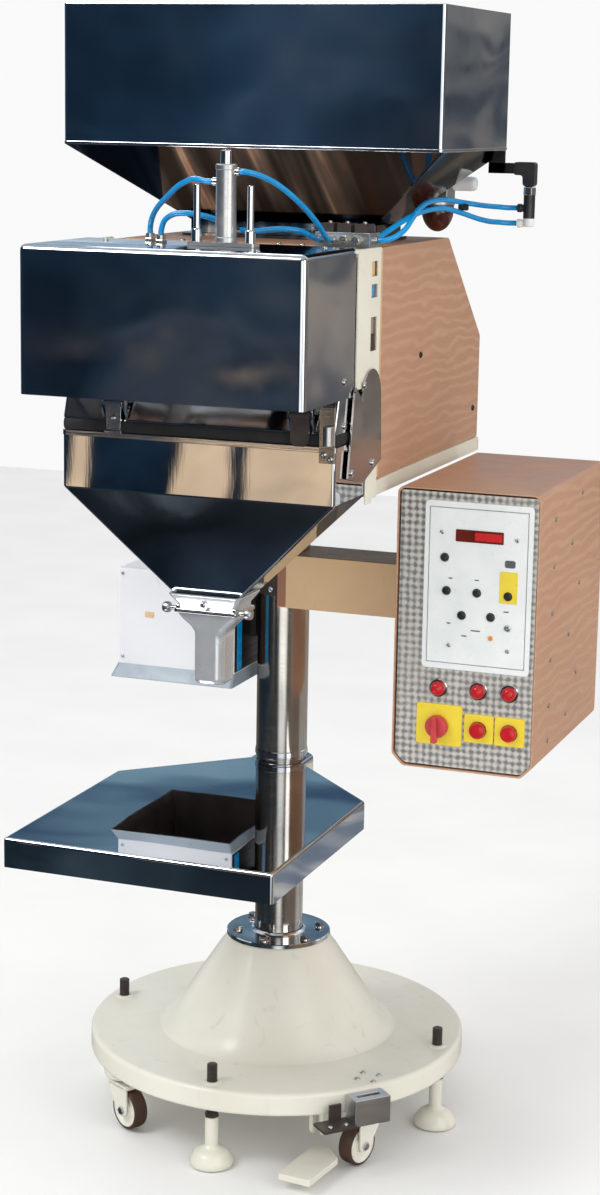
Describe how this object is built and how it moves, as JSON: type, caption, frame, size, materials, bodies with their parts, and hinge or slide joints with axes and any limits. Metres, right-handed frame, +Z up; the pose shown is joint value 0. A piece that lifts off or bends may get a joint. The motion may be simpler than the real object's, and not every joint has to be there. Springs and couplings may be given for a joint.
{
  "type": "net-weight filling machine",
  "caption": "Floor-standing weigh filler: polished top hopper, feeder cabinet, weighing chamber and spout over a bag tray, on a column with a round wheeled base and a control box.",
  "frame": {"origin": "on the floor, at the middle of the whole machine's bounding box", "axes": "+Z up along the column, the operator stands on the -Y side, +X to the operator's right, towards the control box"},
  "size_m": [0.7544, 0.904, 1.728],
  "materials": {
    "cream_paint": "smooth cream enamel",
    "tan_paint": "satin salmon-tan enamel",
    "pale_tan_paint": "satin pale tan enamel",
    "mirror_steel": "mirror-polished stainless sheet",
    "polished_steel": "polished stainless tube",
    "chrome": "bright plated steel",
    "dark_steel": "darkened steel",
    "aluminium": "satin machined aluminium",
    "black_plastic": "matte black plastic",
    "black_rubber": "black sealing rubber",
    "panel_grey": "hammered blue-grey enamel",
    "white_plastic": "white plastic",
    "red_plastic": "glossy red plastic",
    "smoked_bowl": "smoked red-brown plastic",
    "blue_tube": "glossy blue tube",
    "board_green": "green circuit board"
  },
  "bodies": {
    "pedestal": {"base_casting": "cream_paint", "lower_column": "polished_steel", "foot_valve": "aluminium"},
    "pedal": {"foot_pedal": "cream_paint"},
    "tray": {"bag_tray": "mirror_steel"},
    "head": {"upper_sleeve": "polished_steel", "head_frame": "cream_paint", "side_plate_left": "mirror_steel", "side_plate_right": "mirror_steel", "feeder_cabinet": "tan_paint", "feeder_drive": "dark_steel", "weigh_cover": "mirror_steel", "chamber_skirt": "mirror_steel", "mouth_gasket": "black_rubber", "discharge_hopper": "mirror_steel", "discharge_spout": "polished_steel", "weigh_bucket": "mirror_steel", "gate_cylinder": "aluminium", "product_hopper": "mirror_steel", "valve_manifold": "dark_steel", "air_filter": "smoked_bowl", "air_inlet": "black_plastic", "control_arm": "pale_tan_paint", "control_box": "tan_paint", "control_panel": "panel_grey", "circuit_board": "board_green", "junction_box": "white_plastic", "air_tube_1": "blue_tube", "air_tube_2": "blue_tube", "air_tube_3": "blue_tube", "air_tube_4": "blue_tube", "air_tube_5": "blue_tube", "air_tube_6": "blue_tube"},
    "jack_1": {"jack_1": "cream_paint"},
    "jack_2": {"jack_2": "cream_paint"},
    "jack_3": {"jack_3": "cream_paint"},
    "jack_4": {"jack_4": "cream_paint"},
    "caster_1": {"caster_fork_1": "cream_paint"},
    "wheel_1": {"caster_wheel_1": "cream_paint"},
    "caster_2": {"caster_fork_2": "cream_paint"},
    "wheel_2": {"caster_wheel_2": "cream_paint"},
    "caster_3": {"caster_fork_3": "cream_paint"},
    "wheel_3": {"caster_wheel_3": "cream_paint"},
    "caster_4": {"caster_fork_4": "cream_paint"},
    "wheel_4": {"caster_wheel_4": "cream_paint"},
    "pan": {"feeder_pan": "mirror_steel"},
    "rod": {"cylinder_rod": "chrome"},
    "door": {"bucket_door": "mirror_steel"},
    "latch_left": {"latch_left": "chrome"},
    "latch_right": {"latch_right": "black_plastic"},
    "pressure": {"pressure_knob": "white_plastic"},
    "isolator": {"isolator_knob": "red_plastic"},
    "button_1": {"push_button_1": "red_plastic"},
    "button_2": {"push_button_2": "red_plastic"},
    "key_1": {"key_1": "black_plastic"},
    "key_2": {"key_2": "black_plastic"},
    "key_3": {"key_3": "black_plastic"},
    "key_4": {"key_4": "black_plastic"},
    "key_5": {"key_5": "black_plastic"},
    "key_6": {"key_6": "black_plastic"}
  },
  "joints": [
    {"name": "head_height", "type": "slide", "parent": "pedestal", "child": "head", "axis": [0, 0, 1], "range_m": [0, 0.2]},
    {"name": "tray_height", "type": "slide", "parent": "pedestal", "child": "tray", "axis": [0, 0, 1], "range_m": [-0.15, 0]},
    {"name": "pedal_press", "type": "hinge", "parent": "pedestal", "child": "pedal", "pos_m": [0.09475, -0.108, 0.062], "axis": [0.9903, -0.1392, 0], "range_deg": [0, 5], "stiffness_Nm_per_rad": 12, "springref_deg": -3.44},
    {"name": "jack_1_height", "type": "slide", "parent": "pedestal", "child": "jack_1", "axis": [0, 0, 1], "range_m": [-0.015, 0.018]},
    {"name": "jack_2_height", "type": "slide", "parent": "pedestal", "child": "jack_2", "axis": [0, 0, 1], "range_m": [-0.015, 0.018]},
    {"name": "jack_3_height", "type": "slide", "parent": "pedestal", "child": "jack_3", "axis": [0, 0, 1], "range_m": [-0.015, 0.018]},
    {"name": "jack_4_height", "type": "slide", "parent": "pedestal", "child": "jack_4", "axis": [0, 0, 1], "range_m": [-0.015, 0.018]},
    {"name": "caster_1_swivel", "type": "hinge", "parent": "pedestal", "child": "caster_1", "pos_m": [0.14137, -0.05915, 0.09], "axis": [0, 0, 1], "continuous": true},
    {"name": "wheel_1_spin", "type": "hinge", "parent": "caster_1", "child": "wheel_1", "pos_m": [0.13356, -0.08184, 0.034], "axis": [0.9455, -0.3256, 0], "continuous": true},
    {"name": "caster_2_swivel", "type": "hinge", "parent": "pedestal", "child": "caster_2", "pos_m": [0.11825, 0.2935, 0.09], "axis": [0, 0, 1], "continuous": true},
    {"name": "wheel_2_spin", "type": "hinge", "parent": "caster_2", "child": "wheel_2", "pos_m": [0.12646, 0.31606, 0.034], "axis": [-0.9397, 0.342, 0], "continuous": true},
    {"name": "caster_3_swivel", "type": "hinge", "parent": "pedestal", "child": "caster_3", "pos_m": [-0.26075, 0.2935, 0.09], "axis": [0, 0, 1], "continuous": true},
    {"name": "wheel_3_spin", "type": "hinge", "parent": "caster_3", "child": "wheel_3", "pos_m": [-0.27275, 0.31429, 0.034], "axis": [-0.866, -0.5, 0], "continuous": true},
    {"name": "caster_4_swivel", "type": "hinge", "parent": "pedestal", "child": "caster_4", "pos_m": [-0.26075, -0.0855, 0.09], "axis": [0, 0, 1], "continuous": true},
    {"name": "wheel_4_spin", "type": "hinge", "parent": "caster_4", "child": "wheel_4", "pos_m": [-0.23997, -0.0975, 0.034], "axis": [0.5, 0.866, 0], "continuous": true},
    {"name": "pan_shake", "type": "slide", "parent": "head", "child": "pan", "axis": [0, -1, 0], "range_m": [-0.0015, 0.0015], "stiffness_N_per_m": 60000},
    {"name": "cylinder_stroke", "type": "slide", "parent": "head", "child": "rod", "axis": [0, 0, -1], "range_m": [0, 0.03]},
    {"name": "door_swing", "type": "hinge", "parent": "head", "child": "door", "pos_m": [-0.07125, -0.133, 1.1982], "axis": [1, 0, 0], "range_deg": [0, 57.3]},
    {"name": "latch_left_flip", "type": "hinge", "parent": "head", "child": "latch_left", "pos_m": [-0.19525, -0.257, 1.172], "axis": [1, 0, 0], "range_deg": [-90, 0]},
    {"name": "latch_right_flip", "type": "hinge", "parent": "head", "child": "latch_right", "pos_m": [0.08675, -0.257, 1.172], "axis": [1, 0, 0], "range_deg": [-90, 0]},
    {"name": "pressure_turn", "type": "hinge", "parent": "head", "child": "pressure", "pos_m": [0.15475, 0.256, 1.474], "axis": [1, 0, 0], "range_deg": [-150, 150]},
    {"name": "isolator_turn", "type": "hinge", "parent": "head", "child": "isolator", "pos_m": [0.23075, -0.054, 0.695], "axis": [0, -1, 0], "range_deg": [0, 90]},
    {"name": "button_1_press", "type": "slide", "parent": "head", "child": "button_1", "axis": [0, 1, 0], "range_m": [0, 0.003], "stiffness_N_per_m": 900, "springref_m": -0.002},
    {"name": "button_2_press", "type": "slide", "parent": "head", "child": "button_2", "axis": [0, 1, 0], "range_m": [0, 0.003], "stiffness_N_per_m": 900, "springref_m": -0.002},
    {"name": "key_1_press", "type": "slide", "parent": "head", "child": "key_1", "axis": [0, 1, 0], "range_m": [0, 0.0012], "stiffness_N_per_m": 1200, "springref_m": -0.001},
    {"name": "key_2_press", "type": "slide", "parent": "head", "child": "key_2", "axis": [0, 1, 0], "range_m": [0, 0.0012], "stiffness_N_per_m": 1200, "springref_m": -0.001},
    {"name": "key_3_press", "type": "slide", "parent": "head", "child": "key_3", "axis": [0, 1, 0], "range_m": [0, 0.0012], "stiffness_N_per_m": 1200, "springref_m": -0.001},
    {"name": "key_4_press", "type": "slide", "parent": "head", "child": "key_4", "axis": [0, 1, 0], "range_m": [0, 0.0012], "stiffness_N_per_m": 1200, "springref_m": -0.001},
    {"name": "key_5_press", "type": "slide", "parent": "head", "child": "key_5", "axis": [0, 1, 0], "range_m": [0, 0.0012], "stiffness_N_per_m": 1200, "springref_m": -0.001},
    {"name": "key_6_press", "type": "slide", "parent": "head", "child": "key_6", "axis": [0, 1, 0], "range_m": [0, 0.0012], "stiffness_N_per_m": 1200, "springref_m": -0.001}
  ],
  "couplings": [
    {"joint": "door_swing", "follows": "cylinder_stroke", "rad_per_m": 33.161}
  ]
}
